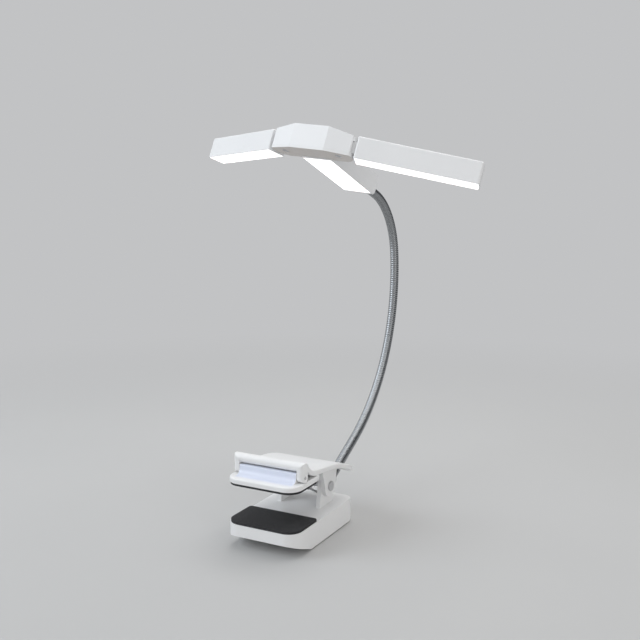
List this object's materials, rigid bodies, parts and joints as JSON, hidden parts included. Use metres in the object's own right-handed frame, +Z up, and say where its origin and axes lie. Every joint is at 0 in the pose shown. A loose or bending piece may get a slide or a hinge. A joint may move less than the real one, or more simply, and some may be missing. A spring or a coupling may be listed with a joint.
{
  "type": "clip-on book light",
  "caption": "Three-arm folding reading light on a gooseneck with a sprung clip; side arms swing out from a faceted hub, jaws lined with rubber.",
  "frame": {"origin": "centre of the fixed lower jaw's rubber face, where the underside of the desk edge rests", "axes": "+Z up, square to the lower rubber face; +X along the edge that is gripped; +Y from the jaws towards the finger end and the gooseneck"},
  "size_m": [0.225, 0.2191, 0.2808],
  "materials": {
    "white_shell": "satin",
    "pale_shell": "satin",
    "grey_shell": "satin",
    "diffuser": "matte",
    "black_rubber": "matte",
    "black_sheath": "satin",
    "chrome_hose": "polished",
    "plain_steel": "satin",
    "plated_steel": "polished",
    "cell_foil": "satin",
    "circuit_board": "satin",
    "black_plastic": "matte",
    "button_cap": "satin"
  },
  "bodies": {
    "base": {"base_housing": "white_shell", "base_cover": "white_shell", "cover_screws": "plain_steel", "battery_cell": "cell_foil", "charge_board": "circuit_board", "usb_socket": "plated_steel", "lower_pad": "black_rubber", "pivot_pin": "plain_steel", "torsion_spring": "plain_steel"},
    "lever": {"upper_lever": "white_shell", "swivel_pin": "plain_steel"},
    "shoe": {"upper_shoe": "pale_shell", "upper_pad": "black_rubber"},
    "neck_foot": {"lower_collar": "chrome_hose"},
    "neck": {"gooseneck": "chrome_hose", "lead": "black_sheath"},
    "neck_top": {"upper_collar": "chrome_hose"},
    "head": {"head_housing": "white_shell", "hub_cover": "grey_shell", "hinge_screws": "plain_steel", "hub_board": "circuit_board", "switches": "black_plastic", "middle_diffuser": "diffuser", "middle_led_board": "circuit_board"},
    "left_arm": {"left_arm_housing": "white_shell", "left_diffuser": "diffuser", "left_led_board": "circuit_board"},
    "right_arm": {"right_arm_housing": "white_shell", "right_diffuser": "diffuser", "right_led_board": "circuit_board"},
    "power_button": {"power_button": "button_cap"},
    "colour_button": {"colour_button": "button_cap"}
  },
  "joints": [
    {"name": "clip_open", "type": "hinge", "parent": "base", "child": "lever", "pos_m": [0, 0.046, 0.0125], "axis": [-1, 0, 0], "range_deg": [-20, 22], "stiffness_Nm_per_rad": 0.6, "deforming": ["torsion_spring"]},
    {"name": "shoe_swivel", "type": "hinge", "parent": "lever", "child": "shoe", "pos_m": [0, -0.0019, 0.0333], "axis": [1, 0, 0], "range_deg": [-22, 1]},
    {"name": "neck_turn", "type": "hinge", "parent": "base", "child": "neck_foot", "pos_m": [0, 0.078, -0.0004], "axis": [0, 0.887, 0.4617], "range_deg": [-35, 35]},
    {"name": "neck_lean", "type": "hinge", "parent": "neck_foot", "child": "neck", "pos_m": [0, 0.08598, 0.00376], "axis": [1, 0, 0], "range_deg": [-25, 40], "deforming": ["gooseneck", "lead"]},
    {"name": "head_nod", "type": "hinge", "parent": "neck", "child": "neck_top", "pos_m": [0, 0.1455, 0.21743], "axis": [1, 0, 0], "range_deg": [-35, 50], "deforming": ["gooseneck", "lead"]},
    {"name": "head_twist", "type": "hinge", "parent": "neck_top", "child": "head", "pos_m": [0, 0.13703, 0.22048], "axis": [0, 0.9409, -0.3387], "range_deg": [-45, 45]},
    {"name": "left_arm_fold", "type": "hinge", "parent": "head", "child": "left_arm", "pos_m": [-0.02118, 0.06051, 0.24944], "axis": [0.1097, 0.3367, 0.9352], "range_deg": [-65, 15]},
    {"name": "right_arm_fold", "type": "hinge", "parent": "head", "child": "right_arm", "pos_m": [0.02096, 0.05894, 0.24506], "axis": [0.1097, 0.3367, 0.9352], "range_deg": [-8, 72]},
    {"name": "power_button_press", "type": "slide", "parent": "head", "child": "power_button", "axis": [-0.1097, -0.3367, -0.9352], "range_m": [0, 0.0005], "stiffness_N_per_m": 800},
    {"name": "colour_button_press", "type": "slide", "parent": "head", "child": "colour_button", "axis": [-0.1097, -0.3367, -0.9352], "range_m": [0, 0.0005], "stiffness_N_per_m": 800}
  ]
}
